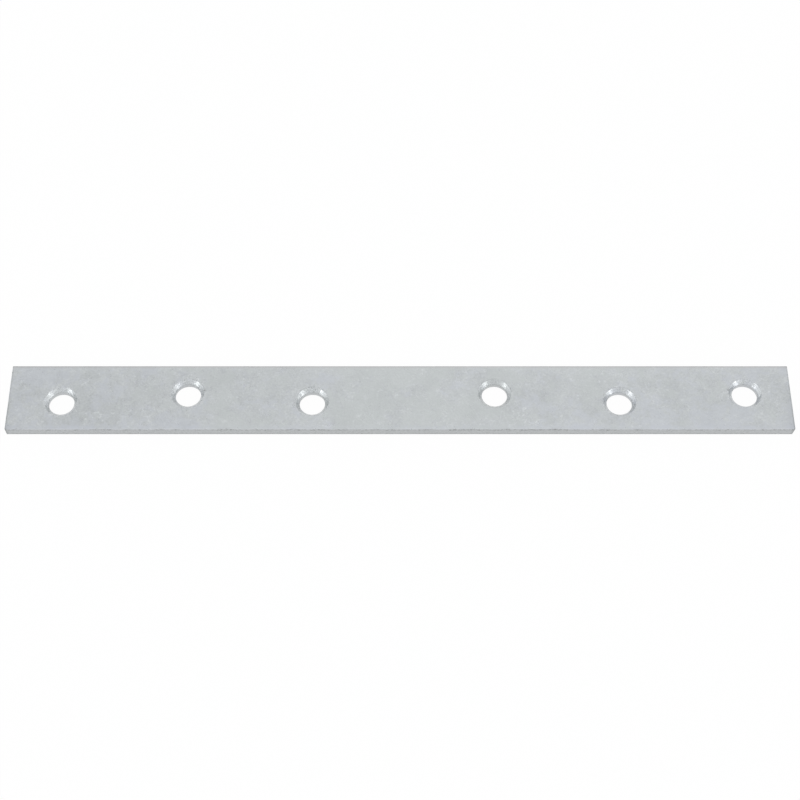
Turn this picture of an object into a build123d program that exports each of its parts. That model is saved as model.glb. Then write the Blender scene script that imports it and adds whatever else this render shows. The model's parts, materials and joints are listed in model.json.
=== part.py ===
from build123d import *
import math
import os

# Flat mending plate: a bar cropped from galvanised strip steel, with countersunk
# screw holes in two shallow rows either side of the joint that it bridges.
# Millimetres. The origin is the centre of the underside, +X runs along the bar
# and +Z points out of the countersunk face.

# The bar
length = 203.2              # 8 in along the top face
width = 19.05               # 3/4 in strip
thickness = 2.66            # 12 gauge, zinc included
corner_radius = 0.20        # corners of the outline, seen from above
top_edge_radius = 0.15      # edge that the shear blade drew down
bottom_edge_radius = 0.10   # burr side, knocked off by tumbling
left_end_lean = 0.08        # how far the cropped end falls back at the underside
right_end_lean = 0.34       # the same at the other end, where the blade stood off more

# One screw hole, for a 10 gauge countersunk wood screw
bore_diameter = 6.60        # at its narrowest, where the punch cut it cleanly
breakout_diameter = 6.95    # at the underside, where the slug broke away into the wider die
breakout_height = 0.70      # of the part that widens
countersink_width = 1.05    # of the sloping ring round the bore, before rounding
countersink_angle = 82.0    # whole angle of the cone, in degrees
rim_radius = 0.45           # rounding between the top face and the cone
throat_radius = 0.20        # rounding between the cone and the bore
exit_radius = 0.12          # rounding where the bore meets the underside

# Where the holes lie
holes_per_side = 3
middle_gap = 47.37          # between the two holes next to the joint
end_margin = 12.78          # from the last hole to the end of the bar
punch_drift = 0.18          # how much nearer the joint the holes between those two lie
row_offset = 1.22           # how far each row stands off the centre line
shift_along = 0.91          # the punch was set this far towards the right end


def distances_from_joint():
    """How far from the joint line each hole of one side lies, nearest first."""
    first = middle_gap / 2
    last = length / 2 - end_margin
    pitch = (last - first) / (holes_per_side - 1)
    between = [first + pitch * number - punch_drift for number in range(1, holes_per_side - 1)]
    return [first] + between + [last]


def hole_centres():
    """Holes left of the joint, front row first, and the same turned half round."""
    centres = []
    row = -row_offset
    for distance in distances_from_joint():
        centres += [(-distance, row), (distance, -row)]
        row = -row
    return [(along + shift_along, across) for along, across in centres]


def bar():
    """The cropped strip: its side profile drawn across, then its edges rounded."""
    half = length / 2
    with BuildPart() as blank:
        with BuildSketch(Plane.XZ):
            with BuildLine():
                Polyline(
                    (-half, thickness),
                    (half, thickness),
                    (half - right_end_lean, 0),
                    (-half + left_end_lean, 0),
                    close=True,
                )
            make_face()
        extrude(amount=width / 2, both=True)
        upright = blank.edges().filter_by(lambda edge: edge.bounding_box().size.Z > thickness / 2)
        fillet(upright, corner_radius)
        fillet(blank.faces().sort_by(Axis.Z)[-1].edges(), top_edge_radius)
        fillet(blank.faces().sort_by(Axis.Z)[0].edges(), bottom_edge_radius)
    return blank.part


def screw_hole():
    """What one punched and countersunk hole takes away, with its edges rounded."""
    bore = bore_diameter / 2
    breakout = Vector(breakout_diameter / 2, 0)
    half_angle = math.radians(countersink_angle / 2)
    down_the_cone = Vector(-math.sin(half_angle), -math.cos(half_angle))

    # Sharp corners of the profile, as (radius, height).
    rim = Vector(bore + countersink_width, thickness)
    throat = Vector(bore, thickness - countersink_width / math.tan(half_angle))
    bore_foot = Vector(bore, breakout_height)
    down_the_breakout = (breakout - bore_foot).normalized()

    # A rounding meets the two lines of its corner this far from the corner.
    rim_setback = rim_radius * math.tan((math.pi / 2 - half_angle) / 2)
    throat_setback = throat_radius * math.tan(half_angle / 2)
    exit_setback = exit_radius * math.tan(math.atan2(-down_the_breakout.Y, down_the_breakout.X) / 2)

    rim_outside = rim + Vector(rim_setback, 0)
    rim_inside = rim + down_the_cone * rim_setback
    throat_above = throat - down_the_cone * throat_setback
    throat_below = throat - Vector(0, throat_setback)
    exit_above = breakout - down_the_breakout * exit_setback
    exit_outside = breakout + Vector(exit_setback, 0)

    with BuildPart() as cutter:
        with BuildSketch(Plane.XZ):
            with BuildLine():
                Line((0, thickness), rim_outside)
                TangentArc(rim_outside, rim_inside, tangent=(-1, 0))
                Line(rim_inside, throat_above)
                TangentArc(throat_above, throat_below, tangent=down_the_cone)
                Line(throat_below, bore_foot)
                Line(bore_foot, exit_above)
                TangentArc(exit_above, exit_outside, tangent=down_the_breakout)
                Line(exit_outside, (0, 0))
                Line((0, 0), (0, thickness))
            make_face()
        revolve(axis=Axis.Z)
    return cutter.part


def plate():
    """The bar with all its screw holes cut."""
    cutter = screw_hole()
    return bar() - [Pos(along, across, 0) * cutter for along, across in hole_centres()]


os.makedirs("parts", exist_ok=True)
mending_plate = plate()
mending_plate.label = "plate"
export_step(mending_plate, "parts/plate.step")

print("hole centres", [(round(x, 2), round(y, 2)) for x, y in sorted(hole_centres())])
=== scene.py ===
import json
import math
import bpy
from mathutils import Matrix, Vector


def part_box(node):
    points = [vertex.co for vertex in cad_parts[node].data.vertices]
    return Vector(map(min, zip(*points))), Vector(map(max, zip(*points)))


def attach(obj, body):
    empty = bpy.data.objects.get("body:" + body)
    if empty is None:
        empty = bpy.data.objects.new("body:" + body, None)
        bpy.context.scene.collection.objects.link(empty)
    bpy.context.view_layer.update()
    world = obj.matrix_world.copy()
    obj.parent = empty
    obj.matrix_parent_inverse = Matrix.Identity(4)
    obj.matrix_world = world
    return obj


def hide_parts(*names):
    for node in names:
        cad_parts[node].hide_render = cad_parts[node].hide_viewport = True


bl_info = {
    "name": "Mending plate",
    "version": (1, 0, 0),
    "blender": (4, 5, 0),
    "location": "3D View > Sidebar > Mending plate",
    "description": "A flat mending plate cropped from zinc coated strip, with countersunk screw holes",
    "category": "Add Mesh",
}

import bmesh
import bpy
from bpy.props import FloatProperty, FloatVectorProperty, PointerProperty
from mathutils import Matrix, Vector, noise

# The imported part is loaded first: sizes and places below come from it. Metres.
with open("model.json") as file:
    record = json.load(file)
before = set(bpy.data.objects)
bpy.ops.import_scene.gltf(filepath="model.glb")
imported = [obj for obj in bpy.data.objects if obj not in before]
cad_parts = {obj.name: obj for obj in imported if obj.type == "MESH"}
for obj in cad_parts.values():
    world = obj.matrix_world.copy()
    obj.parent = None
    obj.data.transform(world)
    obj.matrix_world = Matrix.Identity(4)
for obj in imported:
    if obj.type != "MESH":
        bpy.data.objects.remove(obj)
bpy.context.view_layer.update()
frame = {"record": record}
PLATE_LOW, PLATE_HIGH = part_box("plate")
TOP = PLATE_HIGH.z
BOTTOM = PLATE_LOW.z
WIDTH = PLATE_HIGH.y - PLATE_LOW.y
HALF_LENGTH = (PLATE_HIGH.x - PLATE_LOW.x) / 2
BORES = [mount for mount in frame["record"]["mounts"] if mount["kind"] == "bore"]
BORE_RADIUS = BORES[0]["dims"]["r_mm"] / 1000
# Their centres seen from above, from left to right.
HOLES = sorted((Vector(bore["pos_m"]).xy for bore in BORES), key=lambda centre: centre.x)
MM = 0.001
MERGE_DISTANCE = 0.001 * MM


# ---------------------------------------------------------------------------
# Settings that a user would change


class PlateShape(bpy.types.PropertyGroup):
    mesh_step: FloatProperty(
        name="Mesh step", description="Side of the quads on the faces",
        default=0.5 * MM, unit="LENGTH",
    )
    countersink_width: FloatProperty(
        name="Countersink width", description="Width of the sloping ring round a bore, seen from above",
        default=1.05 * MM, unit="LENGTH",
    )
    countersink_angle: FloatProperty(
        name="Countersink angle", description="Whole angle of the cone",
        default=math.radians(82), subtype="ANGLE", unit="ROTATION",
    )
    rim_radius: FloatProperty(
        name="Rim radius", description="Rounding between the top face and the cone",
        default=0.45 * MM, unit="LENGTH",
    )
    throat_radius: FloatProperty(
        name="Throat radius", description="Rounding between the cone and the bore",
        default=0.20 * MM, unit="LENGTH",
    )
    breakout_width: FloatProperty(
        name="Breakout width", description="How far a bore's lower part widens towards the underside",
        default=0.175 * MM, unit="LENGTH",
    )
    breakout_height: FloatProperty(
        name="Breakout height", description="Height of the part of a bore that widens",
        default=0.70 * MM, unit="LENGTH",
    )
    exit_radius: FloatProperty(
        name="Exit radius", description="Rounding where a bore meets the underside",
        default=0.12 * MM, unit="LENGTH",
    )
    corner_radius: FloatProperty(
        name="Corner radius", description="Corners of the outline, seen from above",
        default=0.20 * MM, unit="LENGTH",
    )
    top_edge_radius: FloatProperty(
        name="Top edge radius", description="Edge that the shear blade drew down",
        default=0.10 * MM, unit="LENGTH",
    )
    bottom_edge_radius: FloatProperty(
        name="Bottom edge radius", description="Burr side of the sheared edge",
        default=0.10 * MM, unit="LENGTH",
    )
    left_end_lean: FloatProperty(
        name="Left end lean", description="How far the left end falls back at the underside",
        default=0.08 * MM, unit="LENGTH",
    )
    right_end_lean: FloatProperty(
        name="Right end lean", description="How far the right end falls back at the underside",
        default=0.34 * MM, unit="LENGTH",
    )
    edge_waviness: FloatProperty(
        name="Edge waviness", description="How far the sheared edge wanders up and down",
        default=0.07 * MM, unit="LENGTH",
    )
    crease_level: FloatProperty(
        name="Crease level", description="Depth of the sheared edge's crease below the top face",
        default=0.35 * MM, unit="LENGTH",
    )
    crease_depth: FloatProperty(
        name="Crease depth", description="Groove under the top edge, where the zinc was folded over",
        default=0.05 * MM, unit="LENGTH",
    )
    countersink_chatter: FloatProperty(
        name="Countersink chatter", description="Height of the fine facets that the zinc left on the cones",
        default=0.038 * MM, unit="LENGTH",
    )
    nick_depth: FloatProperty(
        name="Nick depth", description="Depth of the nicks in two of the countersinks' rims",
        default=0.07 * MM, unit="LENGTH",
    )
    face_unevenness: FloatProperty(
        name="Face unevenness", description="Height of the slow swells in the zinc on the faces",
        default=0.012 * MM, unit="LENGTH",
    )


class ZincFinish(bpy.types.PropertyGroup):
    # Also the pale end of the painted light on the cones and towards the back, and of the painted sheen right
    # at the front edge.
    bloom: FloatVectorProperty(
        name="Bloom", description="Paler grains, specks and scratches in the zinc",
        default=(0.680, 0.701, 0.711), subtype="COLOR", size=3, min=0, max=1,
    )
    dull: FloatVectorProperty(
        name="Dull", description="Darker grains and clouds in the zinc",
        default=(0.406, 0.423, 0.431), subtype="COLOR", size=3, min=0, max=1,
    )
    # Also the colour of the painted sheen along the front edge.
    cool: FloatVectorProperty(
        name="Cool", description="Bluer patches, and the bloom along the front edge",
        default=(0.545, 0.566, 0.612), subtype="COLOR", size=3, min=0, max=1,
    )
    sage: FloatVectorProperty(
        name="Sage", description="Greener patches in the zinc",
        default=(0.532, 0.558, 0.552), subtype="COLOR", size=3, min=0, max=1,
    )
    sheared: FloatVectorProperty(
        name="Sheared", description="Greyer zinc on the sheared walls",
        default=(0.480, 0.496, 0.504), subtype="COLOR", size=3, min=0, max=1,
    )
    # A neutral grey along the back edge.
    back_grey: FloatVectorProperty(
        name="Rubbed", description="Neutral grey of the long edge at the back",
        default=(0.530, 0.525, 0.526), subtype="COLOR", size=3, min=0, max=1,
    )
    # The colour of the painted shade, in the crease under the sheared edge, along the outline, at the walls'
    # foot, at the corners and in the nicks, and of the walls' dark dashes.
    crease: FloatVectorProperty(
        name="Crease", description="Dark marks under the sheared edge, along the ends and in the nicks",
        default=(0.200, 0.205, 0.203), subtype="COLOR", size=3, min=0, max=1,
    )
    roughness: FloatProperty(
        name="Roughness", description="Mean roughness of the zinc", default=0.34, min=0, max=1,
    )
    metallic: FloatProperty(
        name="Metallic", description="How metallic the zinc looks under its matt skin",
        default=0.85, min=0, max=1,
    )


class StudioStage(bpy.types.PropertyGroup):
    elevation: FloatProperty(
        name="Camera elevation", description="Angle of the camera above the plate",
        default=math.radians(59.35), subtype="ANGLE", unit="ROTATION",
    )
    distance: FloatProperty(
        name="Camera distance", description="From the camera to the point that it aims at",
        default=0.4370, unit="LENGTH",
    )
    lens: FloatProperty(
        name="Lens", description="Focal length on a 36 mm sensor, in millimetres", default=75.83,
    )
    aim_forward: FloatProperty(
        name="Aim forward", description="How far in front of the plate's middle the camera aims",
        default=0.83 * MM, unit="LENGTH",
    )
    overhead_radiance: FloatProperty(
        name="Overhead radiance", description="Brightness of the softbox that the top face mirrors",
        default=0.2, min=0,
    )
    side_radiance: FloatProperty(
        name="Side radiance", description="Brightness of the two side softboxes", default=2.4, min=0,
    )
    surround: FloatProperty(
        name="Surround", description="Brightness of the room behind the softboxes", default=0.88, min=0,
    )
    horizon_glow: FloatProperty(
        name="Horizon glow", description="How much brighter the surround is low down than overhead",
        default=0.6, min=0,
    )
    side_glow: FloatProperty(
        name="Side glow", description="How much brighter still it is low down on both sides of the camera",
        default=0.7, min=0,
    )
    floor_glow: FloatProperty(
        name="Floor glow", description="Share of plain white in the floor that the camera sees",
        default=0.97, min=0, max=1,
    )


# ---------------------------------------------------------------------------
# Shader maths


class Socket:
    """A node's output that Python arithmetic extends with Math nodes."""

    def __init__(self, shader, output):
        self.shader = shader
        self.output = output

    def maths(self, operation, *terms, clamp=False):
        settings = {"operation": operation, "use_clamp": clamp}
        return self.shader.node("ShaderNodeMath", settings, dict(enumerate(terms)))

    def __add__(self, other):
        return self.maths("ADD", self, other)

    __radd__ = __add__

    def __mul__(self, other):
        return self.maths("MULTIPLY", self, other)

    __rmul__ = __mul__

    def __sub__(self, other):
        return self.maths("SUBTRACT", self, other)

    def __rsub__(self, other):
        return self.maths("SUBTRACT", other, self)

    def __truediv__(self, other):
        return self.maths("DIVIDE", self, other)

    def __pow__(self, other):
        return self.maths("POWER", self, other)

    def __abs__(self):
        return self.maths("ABSOLUTE", self)

    def clamped(self):
        """Itself, held between 0 and 1."""
        return self.maths("ADD", self, 0.0, clamp=True)

    def above(self, low, high):
        """0 below low, 1 above high and a smooth step between them. It falls where low is the greater."""
        settings = {"interpolation_type": "SMOOTHSTEP"}
        values = {"Value": self, "From Min": low, "From Max": high}
        return self.shader.node("ShaderNodeMapRange", settings, values)

    def most(self, other):
        """The greater of the two."""
        return self.maths("MAXIMUM", self, other)


class Shader:
    """A node tree that is written as calls and expressions."""

    def __init__(self, tree):
        self.tree = tree
        tree.nodes.clear()

    def node(self, kind, settings=None, values=None, output=0):
        """Adds one node: its settings first, then the values or links of its sockets."""
        made = self.tree.nodes.new(kind)
        for name, value in (settings or {}).items():
            setattr(made, name, value)
        for name, value in (values or {}).items():
            if isinstance(value, Socket):
                self.tree.links.new(value.output, made.inputs[name])
            else:
                made.inputs[name].default_value = value
        return Socket(self, made.outputs[output])

    def close(self, kind, surface):
        """Ends the tree with an output node."""
        ending = self.tree.nodes.new(kind)
        self.tree.links.new(surface.output, ending.inputs["Surface"])

    def mix(self, factor, first, second):
        """Mix of two colours, each three numbers or a socket."""
        colours = [c if isinstance(c, Socket) else (*c, 1) for c in (first, second)]
        settings = {"data_type": "RGBA"}
        values = {0: factor, 6: colours[0], 7: colours[1]}
        return self.node("ShaderNodeMix", settings, values, output=2)

    def axis(self, vector, name):
        """One number of a vector: X, Y or Z."""
        return self.node("ShaderNodeSeparateXYZ", None, {"Vector": vector}, output=name)

    def here(self):
        """Object coordinates, in metres."""
        return self.node("ShaderNodeTexCoord", output="Object")

    def cloud(self, size, detail=2.0, roughness=0.5, distortion=0.0, scale=(1, 1, 1), shift=(0, 0, 0)):
        """Noise from 0 to 1 whose swells are about size metres across, before they are scaled."""
        placing = {"Vector": self.here(), "Location": shift, "Scale": scale}
        values = {
            "Vector": self.node("ShaderNodeMapping", None, placing),
            "Scale": 1 / size,
            "Detail": detail,
            "Roughness": roughness,
            "Distortion": distortion,
        }
        return self.node("ShaderNodeTexNoise", None, values)

    def attribute(self, name):
        """One of the marks left on the mesh: wear, painted light and painted shade."""
        return self.node("ShaderNodeAttribute", {"attribute_name": name}, output="Fac")


# ---------------------------------------------------------------------------
# The galvanised finish


def hairlines(shader, size, width, shift):
    """Thin curved lines, broken into short pieces, from 0 to 1."""
    lie = shader.cloud(size, detail=1.0, distortion=0.8, shift=(shift, shift, 0))
    broken = shader.cloud(0.7 * size, detail=0.0, shift=(0, shift, shift)).above(0.50, 0.60)
    return abs(lie - 0.5).above(width, 0.0) * broken


def paleness(shader, mottle, grain, cone, from_joint):
    """Where the zinc stands between its dull grey, at 0, and its pale bloom, at 1, with painted light on the
    cones and towards the back.
    """
    slow = shader.cloud(5 * MM, detail=1.0, roughness=0.5)
    clouded = (slow - 0.5) * 0.40 + (mottle - 0.5) * 0.46 + grain.above(0.38, 0.70) * 0.19

    # Specks and hairlines show where frost lies, and most in the scuffs.
    specks = shader.cloud(0.50 * MM, detail=0.0, shift=(1.0, 0.4, 0.2)).above(0.66, 0.78)
    lines = hairlines(shader, 1.3 * MM, 0.05, 0.6) + hairlines(shader, 2.0 * MM, 0.035, 2.3)
    frost = shader.cloud(4.5 * MM, detail=2.0, shift=(0.5, 0.1, 0.7)).above(0.44, 0.62)
    frost = 0.25 + frost * 0.6 + shader.attribute("scuff") * 0.8
    frosted = (specks * 0.17 + lines * 0.30) * frost

    # The ends and the long edges are paler than the middle, the back one most; the face also grows paler
    # towards the back, as painted light from the softbox that it mirrors there.
    backwards = shader.axis(shader.here(), "Y") / PLATE_HIGH.y
    edges_and_painted_light = from_joint**6.0 * 0.08 + abs(backwards) ** 3.0 * 0.075 + backwards * 0.018

    # The cones have finer crystals, and a painted light low down at their sides, which lifts their shade.
    crystals = shader.cloud(0.25 * MM, detail=1.0, shift=(0.9, 0.3, 0.5)).above(0.38, 0.62)
    in_cones = (crystals - 0.5) * cone * 0.55 + shader.attribute("painted_cone_light") * 0.55

    mean = 0.326
    return (mean + clouded + frosted + edges_and_painted_light + in_cones).clamped()


def darkness(shader):
    """Dark marks, from 0 to 1: painted shade in the crease, the dark dashes in the sheared walls, and painted
    shade along the outline, at the walls' foot, at the corners and in the nicks.
    """
    dashes = shader.cloud(0.60 * MM, detail=3.0, roughness=0.7, scale=(1, 1, 1.8)).above(0.44, 0.60)
    crease = shader.attribute("crease") * (dashes * 0.85 + 0.15)
    return (crease + shader.attribute("painted_shade") + shader.attribute("wall") * dashes * 0.22).clamped()


def zinc_colour(shader, finish, pale, from_joint):
    """The zinc's grey, with its patches, its tinted edges, the painted sheen along the front, and the painted
    shade with the walls' dark dashes laid over it in turn.
    """
    patch = shader.cloud(9 * MM, detail=2.0, shift=(0.3, 0.9, 0.1)) * 0.55
    patch = patch + shader.cloud(2.2 * MM, detail=2.0, roughness=0.7, shift=(0.8, 0.2, 0.6)) * 0.45
    patch = patch + (from_joint - 0.5) * 0.18
    # The front mark is a painted sheen: bluer along the front edge, and paler right at it.
    front = shader.attribute("front_sheen")
    washes = (
        ((patch.above(0.50, 0.62) * 0.45 + front.clamped() * 0.4).clamped(), finish.cool),
        (patch.above(0.50, 0.40) * 0.45, finish.sage),
        ((front - 1).clamped() * 0.23, finish.bloom),
        (shader.attribute("back_edge") * 0.8, finish.back_grey),
        (shader.attribute("wall") * 0.9, finish.sheared),
        (darkness(shader), finish.crease),
    )
    colour = shader.mix(pale, finish.dull, finish.bloom)
    for share, tint in washes:
        colour = shader.mix(share, colour, tint)
    return colour


def galvanised_steel(finish):
    """Matt zinc: mottled and grained all over, and rougher where it is paler."""
    material = bpy.data.materials.new("galvanised_steel")
    material.use_nodes = True
    shader = Shader(material.node_tree)

    mottle = shader.cloud(1.5 * MM, detail=3.0, roughness=0.6, distortion=0.6)
    grain = shader.cloud(0.48 * MM, detail=1.0, roughness=0.6)
    cone = shader.attribute("cone")
    from_joint = abs(shader.axis(shader.here(), "X")) / PLATE_HIGH.x
    pale = paleness(shader, mottle, grain, cone, from_joint)

    facets = shader.cloud(0.24 * MM, detail=1.0, shift=(0.2, 0.7, 0.9)) * cone * 0.6
    relief = {"Strength": 0.6, "Distance": 0.06 * MM, "Height": grain * 0.5 + mottle * 0.5 + facets}
    skin = {
        "Base Color": zinc_colour(shader, finish, pale, from_joint),
        "Metallic": finish.metallic,
        "Roughness": finish.roughness + (mottle - 0.5) * 0.25 + (grain - 0.5) * 0.2 - cone * 0.02,
        "Normal": shader.node("ShaderNodeBump", None, relief),
    }
    shader.close("ShaderNodeOutputMaterial", shader.node("ShaderNodeBsdfPrincipled", None, skin))
    return material


# ---------------------------------------------------------------------------
# The plate's shape


def arc(corner, start, end, radius, segments):
    """Points of a rounding inside a corner of a profile, from one line to the other.

    start and end are unit vectors along the two lines, both pointing away from the corner.
    """
    half_turn = (math.pi - start.angle(end)) / 2
    setback = radius * math.tan(half_turn)
    middle = (start + end).normalized() * (radius / math.cos(half_turn))
    first = (start * setback - middle).normalized()
    last = (end * setback - middle).normalized()
    spokes = [first.slerp(last, step / segments) * radius for step in range(segments + 1)]
    return [corner + middle + spoke for spoke in spokes]


def between(start, end, steps):
    """The points that cut a line into equal steps, without its ends."""
    return [start.lerp(end, step / steps) for step in range(1, steps)]


def hole_profile(shape):
    """(radius, height) points of a screw hole, from the underside up to the top face."""
    half_angle = shape.countersink_angle / 2
    up_cone = Vector((math.sin(half_angle), math.cos(half_angle)))
    out = Vector((1, 0))
    up = Vector((0, 1))
    rim = Vector((BORE_RADIUS + shape.countersink_width, TOP))
    throat = Vector((BORE_RADIUS, TOP - shape.countersink_width / math.tan(half_angle)))
    foot = Vector((BORE_RADIUS + shape.breakout_width, BOTTOM))
    land = Vector((BORE_RADIUS, BOTTOM + shape.breakout_height))

    exit_arc = arc(foot, out, (land - foot).normalized(), shape.exit_radius, 4)
    throat_arc = arc(throat, -up, up_cone, shape.throat_radius, 4)
    rim_arc = arc(rim, -up_cone, out, shape.rim_radius, 8)
    bore = exit_arc + between(exit_arc[-1], land, 3) + [land] + between(land, throat, 4)
    return bore + throat_arc + between(throat_arc[-1], rim_arc[0], 8) + rim_arc


def punch(bm, centre, profile, segments):
    """Spins a hole's profile round its centre."""
    verts = [bm.verts.new((centre.x + point.x, centre.y, point.y)) for point in profile]
    edges = [bm.edges.new(pair) for pair in zip(verts, verts[1:])]
    bmesh.ops.spin(
        bm, geom=verts + edges, cent=(centre.x, centre.y, 0), axis=(0, 0, 1),
        angle=math.tau, steps=segments, use_merge=True,
    )


def grid(bm, low, high, height, step_counts):
    """A flat grid of quads between two corners."""
    size = high - low
    middle = (low + high) / 2
    matrix = Matrix.Translation((middle.x, middle.y, height)) @ Matrix.Diagonal((size.x, size.y, 1, 1))
    bmesh.ops.create_grid(bm, x_segments=step_counts[0], y_segments=step_counts[1], size=0.5, matrix=matrix)


def ring(bm, sides, radius, place):
    """The edges of a regular polygon."""
    verts = bmesh.ops.create_circle(bm, segments=sides, radius=radius, matrix=place)["verts"]
    return list({edge for vert in verts for edge in vert.link_edges})


def collar(bm, centre, radius, height, count, rings):
    """Rings of quads between a hole and the square tile round it, which has count steps a side."""
    hole = ring(bm, 4 * count, radius, Matrix.Translation((centre.x, centre.y, height)))
    middle = (PLATE_LOW.y + PLATE_HIGH.y) / 2
    square_on = Matrix.Translation((centre.x, middle, height)) @ Matrix.Rotation(math.pi / 4, 4, "Z")
    tile = ring(bm, 4, WIDTH / math.sqrt(2), square_on)
    cut = bmesh.ops.subdivide_edges(bm, edges=tile, cuts=count - 1)["geom"]
    tile = [item for item in cut if isinstance(item, bmesh.types.BMEdge)]
    spokes = bmesh.ops.bridge_loops(bm, edges=hole + tile)["edges"]
    bmesh.ops.subdivide_edgering(
        bm, edges=spokes, interp_mode="LINEAR", cuts=rings - 1, profile_shape="LINEAR",
    )


def spans():
    """Stretches of the plate along X between the holes' square tiles."""
    edges = [PLATE_LOW.x]
    for centre in HOLES:
        edges += [centre.x - WIDTH / 2, centre.x + WIDTH / 2]
    edges.append(PLATE_HIGH.x)
    return list(zip(edges[::2], edges[1::2]))


def face_sheet(bm, height, radius, count, rings):
    """One whole face of the plate: a collar round each hole and plain grids between them."""
    for centre in HOLES:
        collar(bm, centre, radius, height, count, rings)
    for start, end in spans():
        columns = max(1, round((end - start) / (WIDTH / count)))
        grid(bm, Vector((start, PLATE_LOW.y)), Vector((end, PLATE_HIGH.y)), height, (columns, count))
    bmesh.ops.remove_doubles(bm, verts=bm.verts, dist=MERGE_DISTANCE)


def lies_on(edge, height):
    """Whether an edge lies flat on one level."""
    return all(abs(vert.co.z - height) < MERGE_DISTANCE for vert in edge.verts)


def is_upright(face):
    """Whether a face stands rather than lies."""
    return abs(face.normal.z) < 0.5


def is_outside(face):
    """Whether a face belongs to the plate's outside, and not to a hole."""
    reach = 0.5 * MM
    centre = face.calc_center_median()
    return (
        min(centre.x - PLATE_LOW.x, PLATE_HIGH.x - centre.x) < reach
        or min(centre.y - PLATE_LOW.y, PLATE_HIGH.y - centre.y) < reach
    )


def outside_walls(bm):
    """The faces of the four sheared walls."""
    return [face for face in bm.faces if is_upright(face) and is_outside(face)]


def bend(edge):
    """Cosine of the angle between the normals of an edge's two faces."""
    first, second = edge.link_faces
    return first.normal.dot(second.normal)


def bevel(bm, edges, radius, segments):
    """Rounds some edges."""
    bmesh.ops.bevel(
        bm, geom=edges, offset=radius, offset_type="OFFSET", segments=segments,
        profile=0.5, affect="EDGES", material=-1,
    )


# Depths below the top face at which the walls are cut into rows, in millimetres.
WALL_ROWS = (0.24, 0.34, 0.48, 0.60, 0.70, 0.79, 0.88, 1.00, 1.20, 1.50, 1.85, 2.15, 2.42)


def raise_walls(bm, shape):
    """The four sheared walls, cut into rows, with rounded corners."""
    outline = [edge for edge in bm.edges if len(edge.link_faces) == 1 and lies_on(edge, TOP)]
    made = bmesh.ops.extrude_edge_only(bm, edges=outline)["geom"]
    dropped = [item for item in made if isinstance(item, bmesh.types.BMVert)]
    bmesh.ops.translate(bm, verts=dropped, vec=(0, 0, BOTTOM - TOP))
    bmesh.ops.remove_doubles(bm, verts=bm.verts, dist=MERGE_DISTANCE)
    bmesh.ops.recalc_face_normals(bm, faces=bm.faces)
    for depth in WALL_ROWS:
        walls = outside_walls(bm)
        geom = walls + list({edge for face in walls for edge in face.edges})
        geom += list({vert for face in walls for vert in face.verts})
        bmesh.ops.bisect_plane(bm, geom=geom, plane_co=(0, 0, TOP - depth * MM), plane_no=(0, 0, 1))

    corners = [
        edge
        for edge in bm.edges
        if len(edge.link_faces) == 2
        and abs(edge.verts[0].co.z - edge.verts[1].co.z) > MERGE_DISTANCE
        and bend(edge) < 0.1
        and all(is_outside(face) for face in edge.link_faces)
    ]
    bevel(bm, corners, shape.corner_radius, 4)


def round_outline(bm, height, radius, segments):
    """Rounds the edge between the walls and the face at one level."""
    edges = [
        edge
        for edge in bm.edges
        if len(edge.link_faces) == 2
        and lies_on(edge, height)
        and abs(bend(edge)) < 0.5
        and any(is_outside(face) and is_upright(face) for face in edge.link_faces)
    ]
    bevel(bm, edges, radius, segments)


# ---------------------------------------------------------------------------
# Wear, unevenness, and painted light and shade


# Marks on each vertex for the finish, from wear and from painted light and shade: from 0 to 1, and
# front_sheen to 2.
MARKS = ("crease", "wall", "painted_shade", "scuff", "front_sheen", "back_edge", "cone", "painted_cone_light")
# Light marks from handling: where each lies on the top face and how far it reaches, in millimetres.
SCUFFS = (
    (-80, -5.6, 3.0), (-70, -7.8, 3.0), (-65, -7.6, 3.0), (-21, -8.3, 2.5), (-9, -6.0, 3.0),
    (5, 7.6, 2.5), (12, -8.1, 3.0), (27, -6.2, 2.0), (32, -7.1, 2.5), (50, 5.6, 2.5),
)
# Nicks in two rims: the number of the hole, where the leftmost is 0, and the direction in degrees.
NICKS = ((1, 12), (5, 167))
# How much of the sheared walls' greyer look the walls of the bores have; part of it is painted shade in the
# bores.
BORE_GREY_AND_SHADE = 0.35
# How far the ends, the top edge and the cones with their rims reach from where they start.
END_REACH = 1 * MM
EDGE_REACH = 0.3 * MM
CONE_REACH = 2.5 * MM


def swell(place, size, seed):
    """Smooth noise from about -1 to 1 whose waves are about size metres long."""
    return noise.noise(Vector((place.x / size, place.y / size, place.z / size + seed)))


def ramp(value, low, high):
    """0 at low, 1 at high and a smooth step between them."""
    share = max(0.0, min(1.0, (value - low) / (high - low)))
    return share * share * (3 - 2 * share)


def spot(value, reach):
    """1 at 0, falling away over about the reach."""
    return math.exp(-((value / reach) ** 2))


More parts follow.
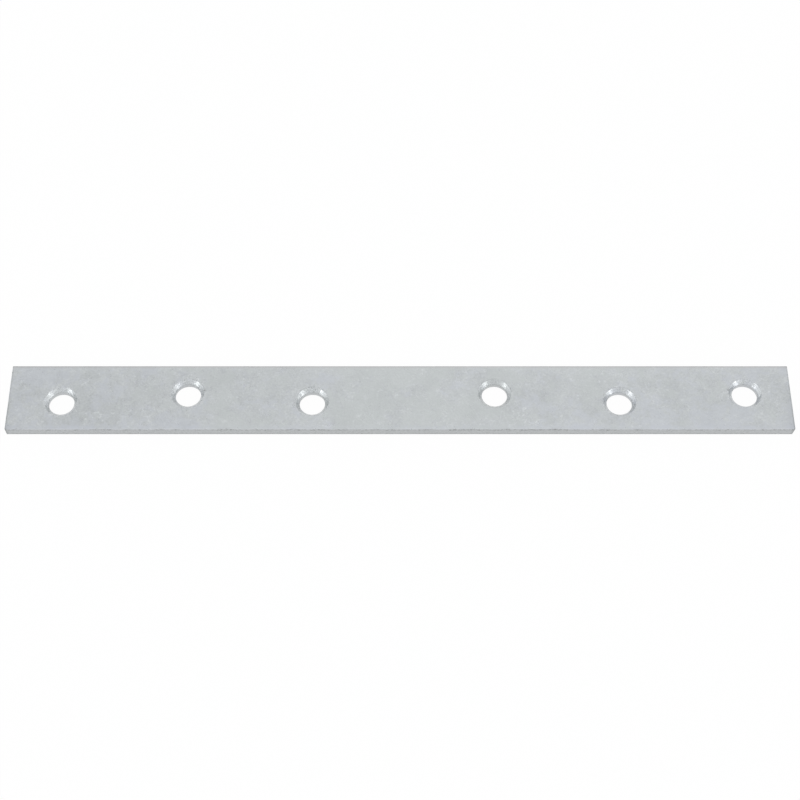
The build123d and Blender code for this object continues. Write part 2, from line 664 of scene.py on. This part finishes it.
class Whereabouts:
    """Where a vertex lay before any wear, and its distances from what surrounds it."""

    def __init__(self, vert):
        self.place = vert.co.copy()
        self.below = TOP - self.place.z
        self.above = self.place.z - BOTTOM
        self.from_end = HALF_LENGTH - abs(self.place.x)
        self.from_side = min(self.place.y - PLATE_LOW.y, PLATE_HIGH.y - self.place.y)
        self.from_outline = min(self.from_end, self.from_side)
        self.hole = min(HOLES, key=lambda centre: (self.place.xy - centre).length)
        self.offset = self.place.xy - self.hole
        self.from_hole = self.offset.length - BORE_RADIUS

    def on_wall(self):
        """Whether it was on a sheared wall, or on the rounding over one."""
        on_rounding = self.from_outline < 0.16 * MM and self.below < EDGE_REACH
        return self.from_outline < 0.02 * MM or on_rounding

    def on_top_edge(self):
        """Whether it was on the outline's top edge, or just inside or below it."""
        return self.below < EDGE_REACH and self.from_outline < EDGE_REACH

    def in_bore(self, shape):
        """Whether it was on the straight part of a bore, or where it widens."""
        in_breakout = self.from_hole < 0.5 * MM and self.above < shape.breakout_height
        return self.from_hole < 0.05 * MM or in_breakout

    def on_cone(self):
        """Whether it was on a cone, or on the top face just round it."""
        return self.from_hole < CONE_REACH and self.above > 0.5 * MM


def nick_centres(shape):
    """Where the nicks lie, seen from above."""
    rim = BORE_RADIUS + shape.countersink_width
    for number, direction in NICKS:
        turn = math.radians(direction)
        yield HOLES[number] + rim * Vector((math.cos(turn), math.sin(turn)))


def deepen(vert, layer, value):
    """Raises a mark to the value, unless it is stronger already."""
    vert[layer] = max(vert[layer], value)


def lean_end(vert, shape, at):
    """Lets a cropped end fall back towards the underside."""
    lean = shape.right_end_lean if at.place.x > 0 else -shape.left_end_lean
    vert.co.x -= lean * at.below / (TOP - BOTTOM)


def wear_wall(vert, layers, shape, at):
    """One point of a sheared wall: the crease under the top edge with painted shade in it, and a painted
    contact shadow at its foot.
    """
    place = vert.co.copy()
    inwards = Vector((-vert.normal.x, -vert.normal.y, 0))
    fleck = swell(place, 0.7 * MM, 5.0)
    level = shape.crease_level + (0.20 * swell(place, 2.4 * MM, 0.0) + 0.22 * fleck) * MM
    groove = spot(at.below - level, 0.26 * MM)
    patchy = ramp(0.55 + 0.9 * swell(place, 4.0 * MM, 9.0) + 0.8 * fleck, 0.0, 1.0)
    end = ramp(abs(place.x), 0.93 * PLATE_HIGH.x, PLATE_HIGH.x)
    foot = 1 - ramp(at.above, 0.15 * MM, 0.65 * MM)
    vert[layers["wall"]] = ramp(at.below, 0.10 * MM, 0.20 * MM)
    # Painted shade in the groove under the top edge.
    vert[layers["crease"]] = groove * max(patchy, end)
    # Painted contact shadow at the wall's foot, next to the floor.
    vert[layers["painted_shade"]] = (0.37 + 0.2 * fleck) * foot
    hollow = 0.02 * MM * ramp(at.above, 0.2 * MM, 0.8 * MM) * (0.5 + 0.5 * fleck)
    vert.co += inwards * (shape.crease_depth * groove * patchy + hollow)


def wave_edge(vert, shape, at):
    """One point of the top edge, which wanders down and up again, and hardly so in the back half."""
    flat = Vector((at.place.x, at.place.y, 0))
    sway = swell(flat, 3.0 * MM, 3.7) + 0.6 * swell(flat, 1.1 * MM, 8.1)
    share = 0.15 if at.place.y > 0 else 1.0
    vert.co.z -= shape.edge_waviness * share * max(0.0, 0.6 + sway)


def wear_cone(vert, layers, shape, at):
    """One point of a countersink: low ridges that run round it, finer facets of zinc, and a painted light low
    down at its front sides.
    """
    direction = at.offset.normalized()
    round_it = direction * 4.2
    seed = 40 * at.hole.x / MM
    ridge = noise.noise(Vector((round_it.x, round_it.y, at.from_hole / (0.30 * MM) + seed)))
    facet = 0.4 * ridge + swell(vert.co, 0.30 * MM, 2.2)
    fade = 1 - ramp(at.from_hole, 1.0 * MM, 2.2 * MM)
    low_down = 1 - ramp(at.from_hole, 0.2 * MM, 1.0 * MM)
    vert[layers["cone"]] = 1 - ramp(at.from_hole, 1.0 * MM, 1.5 * MM)
    # Painted light low down on the cone's sides, against the shade there.
    vert[layers["painted_cone_light"]] = ramp(abs(direction.x), 0.7, 0.95) * ramp(direction.y, -0.8, -0.2) * low_down
    vert.co += vert.normal * (shape.countersink_chatter * fade * facet)


def wear_top(vert, layers, shape, at):
    """One point of the top face: slow swells, scuffs, a painted sheen along the front edge, a grey band along
    the back edge and painted shade along the outline.
    """
    place = Vector((vert.co.x, vert.co.y, 0))
    vert.co.z -= shape.face_unevenness * (0.5 + swell(place, 7 * MM, 1.3))
    scuff = max(spot((place - Vector((x, y, 0)) * MM).length, reach * MM) for x, y, reach in SCUFFS)
    behind = ramp(at.offset.normalized().y, 0.3, 0.9)
    vert[layers["scuff"]] = max(scuff, 0.6 * behind * spot(at.from_hole - 1.5 * MM, 0.9 * MM))
    # A painted sheen along the front edge, and a grey band along the back edge.
    front = place.y - PLATE_LOW.y
    back = PLATE_HIGH.y - place.y
    vert[layers["front_sheen"]] = 2 - ramp(front, 0.3 * MM, 1.7 * MM) - ramp(front, 0.1 * MM, 0.4 * MM)
    vert[layers["back_edge"]] = 1 - ramp(back, 0.25 * MM, 0.8 * MM)
    # Painted shade along the top face's outline.
    deepen(vert, layers["painted_shade"], top_outline(at))


def top_outline(at):
    """Painted shade along the top face's short edges, stronger towards the front, a wider painted shade at
    the ends' front corners, and painted shade along its back edge.
    """
    forward = ramp(-at.place.y, -0.6 * PLATE_HIGH.y, 0.6 * PLATE_HIGH.y)
    right = 1.0 if at.place.x > 0 else 0.0
    # A thin line of painted shade along each end.
    skin = (0.14 + 0.02 * right + 0.06 * forward) * (1 - ramp(at.from_end, 0.10 * MM, 0.45 * MM))
    shade = (0.07 + 0.06 * right) * forward * spot(at.from_end, 1.8 * MM)
    back = 0.22 * (1 - ramp(PLATE_HIGH.y - at.place.y, 0.05 * MM, 0.30 * MM))
    return max(skin, back) + shade


def wear(bm, shape):
    """Leans the cropped ends, gives the faces and walls the unevenness of sheared, dipped strip, and lays the
    marks of wear, painted light and painted shade on the vertices.
    """
    layers = {name: bm.verts.layers.float.new(name) for name in MARKS}
    nicks = list(nick_centres(shape))
    for vert in bm.verts:
        at = Whereabouts(vert)
        if at.from_end < END_REACH:
            lean_end(vert, shape, at)
        if at.on_wall():
            wear_wall(vert, layers, shape, at)
        if at.on_top_edge():
            wave_edge(vert, shape, at)
        elif at.in_bore(shape):
            # Greyer bore walls, partly painted shade.
            vert[layers["wall"]] = BORE_GREY_AND_SHADE
        elif at.on_cone():
            wear_cone(vert, layers, shape, at)
        if at.below < 0.4 * MM:
            wear_top(vert, layers, shape, at)
        # Painted shade at the outline's corners.
        corner = spot(at.from_end, 0.35 * MM) * spot(at.from_side, 0.25 * MM)
        deepen(vert, layers["painted_shade"], 0.75 * corner)
        # Nicks in two of the rims, with painted shade in them.
        if at.below < 0.5 * MM and at.from_hole > 0.4 * MM:
            for nick in nicks:
                dent = spot((at.place.xy - nick).length, 0.28 * MM)
                vert.co.z -= shape.nick_depth * dent
                deepen(vert, layers["painted_shade"], 0.7 * dent)
        vert.co.z = min(vert.co.z, TOP)


def weigh_normals(mesh):
    """Lets large faces set the normals at their corners, so that narrow roundings don't shade them."""
    normals = [Vector() for _ in mesh.vertices]
    for face in mesh.polygons:
        for index in face.vertices:
            normals[index] += face.area * face.normal
    mesh.normals_split_custom_set_from_vertices([normal.normalized() for normal in normals])


def build_plate(shape, finish):
    """The whole plate as one closed mesh."""
    count = round(WIDTH / shape.mesh_step)
    profile = hole_profile(shape)

    bm = bmesh.new()
    for centre in HOLES:
        punch(bm, centre, profile, segments=4 * count)
    face_sheet(bm, TOP, profile[-1].x, count, rings=13)
    face_sheet(bm, BOTTOM, profile[0].x, count, rings=5)
    raise_walls(bm, shape)
    round_outline(bm, TOP, shape.top_edge_radius, 4)
    round_outline(bm, BOTTOM, shape.bottom_edge_radius, 3)
    bmesh.ops.recalc_face_normals(bm, faces=bm.faces)
    bm.normal_update()
    wear(bm, shape)
    for face in bm.faces:
        face.smooth = True

    mesh = bpy.data.meshes.new("plate_zinc")
    bm.to_mesh(mesh)
    bm.free()
    weigh_normals(mesh)
    plate = bpy.data.objects.new("plate_zinc", mesh)
    bpy.context.scene.collection.objects.link(plate)
    mesh.materials.append(galvanised_steel(finish))
    return plate


class MENDINGPLATE_OT_plate(bpy.types.Operator):
    """Build the plate with its sheared edges, countersunk holes and galvanised finish"""

    bl_idname = "mending_plate.plate"
    bl_label = "Plate"
    bl_options = {"REGISTER", "UNDO"}

    def execute(self, context):
        settings = context.scene.mending_plate
        plate = build_plate(settings.shape, settings.finish)
        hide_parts("plate")
        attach(plate, "root")
        return {"FINISHED"}


# ---------------------------------------------------------------------------
# The stage


# How far the floor reaches each way, and how far below the plate it lies.
FLOOR_REACH = 2
FLOOR_GAP = 0.02 * MM
FLOOR_GREY = (0.9, 0.9, 0.9, 1)
WHITE = (1, 1, 1, 1)
ROOM_WHITE = (0.985, 0.995, 1.0, 1)


def pale_floor(stage):
    """White floor that keeps a soft shadow: mostly plain white where it is looked at or mirrored."""
    material = bpy.data.materials.new("pale_floor")
    material.use_nodes = True
    shader = Shader(material.node_tree)
    looked_at, mirrored, seen_through = [
        shader.node("ShaderNodeLightPath", output=name)
        for name in ("Is Camera Ray", "Is Glossy Ray", "Is Transmission Ray")
    ]
    share = looked_at.most(mirrored).most(seen_through) * stage.floor_glow
    matt = shader.node("ShaderNodeBsdfDiffuse", None, {"Color": FLOOR_GREY})
    white = shader.node("ShaderNodeEmission", None, {"Color": WHITE, "Strength": 1.0})
    surface = shader.node("ShaderNodeMixShader", None, {0: share, 1: matt, 2: white})
    shader.close("ShaderNodeOutputMaterial", surface)
    return material


def lay_floor(stage):
    """A wide floor just under the plate, a hair lower so that the two faces don't coincide."""
    bm = bmesh.new()
    corner = Vector((FLOOR_REACH, FLOOR_REACH))
    grid(bm, -corner, corner, BOTTOM - FLOOR_GAP, (1, 1))
    mesh = bpy.data.meshes.new("floor")
    bm.to_mesh(mesh)
    bm.free()
    floor = bpy.data.objects.new("floor", mesh)
    bpy.context.scene.collection.objects.link(floor)
    mesh.materials.append(pale_floor(stage))


def stand(name, data, aim, towards, distance):
    """Stands a lamp or the camera off from the point that it looks at."""
    placed = bpy.data.objects.new(name, data)
    placed.location = aim + towards * distance
    placed.rotation_mode = "QUATERNION"
    placed.rotation_quaternion = towards.to_track_quat("Z", "Y")
    bpy.context.scene.collection.objects.link(placed)
    return placed


def softbox(name, azimuth, elevation, distance, size, radiance):
    """A rectangular lamp that looks at the plate. Azimuth 0 is in front, 90 to the right."""
    turn = math.radians(azimuth)
    tilt = math.radians(elevation)
    towards = Vector((math.sin(turn) * math.cos(tilt), -math.cos(turn) * math.cos(tilt), math.sin(tilt)))
    lamp = bpy.data.lights.new(name, "AREA")
    lamp.shape = "RECTANGLE"
    lamp.size, lamp.size_y = size
    lamp.energy = radiance * math.pi * size[0] * size[1]
    stand(name, lamp, Vector((0, 0, TOP)), towards, distance)


def glowing_room(stage):
    """White all round: plain to the camera, but for the plate brighter low down and beside the camera."""
    world = bpy.data.worlds.new("room")
    world.use_nodes = True
    shader = Shader(world.node_tree)
    looked_at = shader.node("ShaderNodeLightPath", output="Is Camera Ray")
    direction = shader.node("ShaderNodeTexCoord", output="Generated")
    across, back, up = [shader.axis(direction, name) for name in "XYZ"]
    low_down = (1 - up.clamped()) ** 3.0
    beside_camera = across * across * (0.6 - back * 0.85).clamped()
    glow = low_down * (beside_camera * stage.side_glow + stage.horizon_glow) + stage.surround
    values = {"Color": ROOM_WHITE, "Strength": looked_at + (1 - looked_at) * glow}
    shader.close("ShaderNodeOutputWorld", shader.node("ShaderNodeBackground", None, values))
    bpy.context.scene.world = world


def light_room(stage):
    """The room, one wide softbox over the plate's back and two low ones beside the camera."""
    glowing_room(stage)
    softbox(
        "overhead_softbox", azimuth=172, elevation=60, distance=1.1, size=(0.55, 0.9),
        radiance=stage.overhead_radiance,
    )
    for name, azimuth in (("left_softbox", -62), ("right_softbox", 62)):
        softbox(name, azimuth, elevation=17, distance=0.9, size=(0.22, 0.28), radiance=stage.side_radiance)


def place_camera(stage):
    """Looks down on the plate from the front."""
    lens = bpy.data.cameras.new("camera")
    lens.lens = stage.lens
    lens.sensor_width = 36
    lens.clip_start = 0.01
    aim = Vector((0, -stage.aim_forward, TOP))
    towards = Vector((0, -math.cos(stage.elevation), math.sin(stage.elevation)))
    bpy.context.scene.camera = stand("camera", lens, aim, towards, stage.distance)


class MENDINGPLATE_OT_stage(bpy.types.Operator):
    """Lay the floor, light the room and place the camera"""

    bl_idname = "mending_plate.stage"
    bl_label = "Stage"
    bl_options = {"REGISTER", "UNDO"}

    def execute(self, context):
        stage = context.scene.mending_plate.stage
        lay_floor(stage)
        light_room(stage)
        place_camera(stage)
        context.scene.view_settings.view_transform = "Standard"
        return {"FINISHED"}


# ---------------------------------------------------------------------------
# Add-on


class MendingPlateSettings(bpy.types.PropertyGroup):
    shape: PointerProperty(type=PlateShape, name="Shape", description="Sizes of the plate's details")
    finish: PointerProperty(type=ZincFinish, name="Finish", description="Colours of the zinc")
    stage: PointerProperty(type=StudioStage, name="Stage", description="Camera and light")


class MENDINGPLATE_PT_panel(bpy.types.Panel):
    """Lists the plate's operators and settings"""

    bl_idname = "MENDINGPLATE_PT_panel"
    bl_label = "Mending plate"
    bl_space_type = "VIEW_3D"
    bl_region_type = "UI"
    bl_category = "Mending plate"

    def draw(self, context):
        settings = context.scene.mending_plate
        for operator, groups in (
            (MENDINGPLATE_OT_plate, (settings.shape, settings.finish)),
            (MENDINGPLATE_OT_stage, (settings.stage,)),
        ):
            self.layout.operator(operator.bl_idname)
            for group in groups:
                for name in group.bl_rna.properties.keys():
                    if name not in ("rna_type", "name"):
                        self.layout.prop(group, name)


CLASSES = (
    PlateShape,
    ZincFinish,
    StudioStage,
    MendingPlateSettings,
    MENDINGPLATE_OT_plate,
    MENDINGPLATE_OT_stage,
    MENDINGPLATE_PT_panel,
)


def register():
    for each in CLASSES:
        bpy.utils.register_class(each)
    bpy.types.Scene.mending_plate = PointerProperty(type=MendingPlateSettings)


def unregister():
    del bpy.types.Scene.mending_plate
    for each in reversed(CLASSES):
        bpy.utils.unregister_class(each)


def main():
    register()
    bpy.ops.mending_plate.stage()
    bpy.ops.mending_plate.plate()


if __name__ == "__main__":
    main()
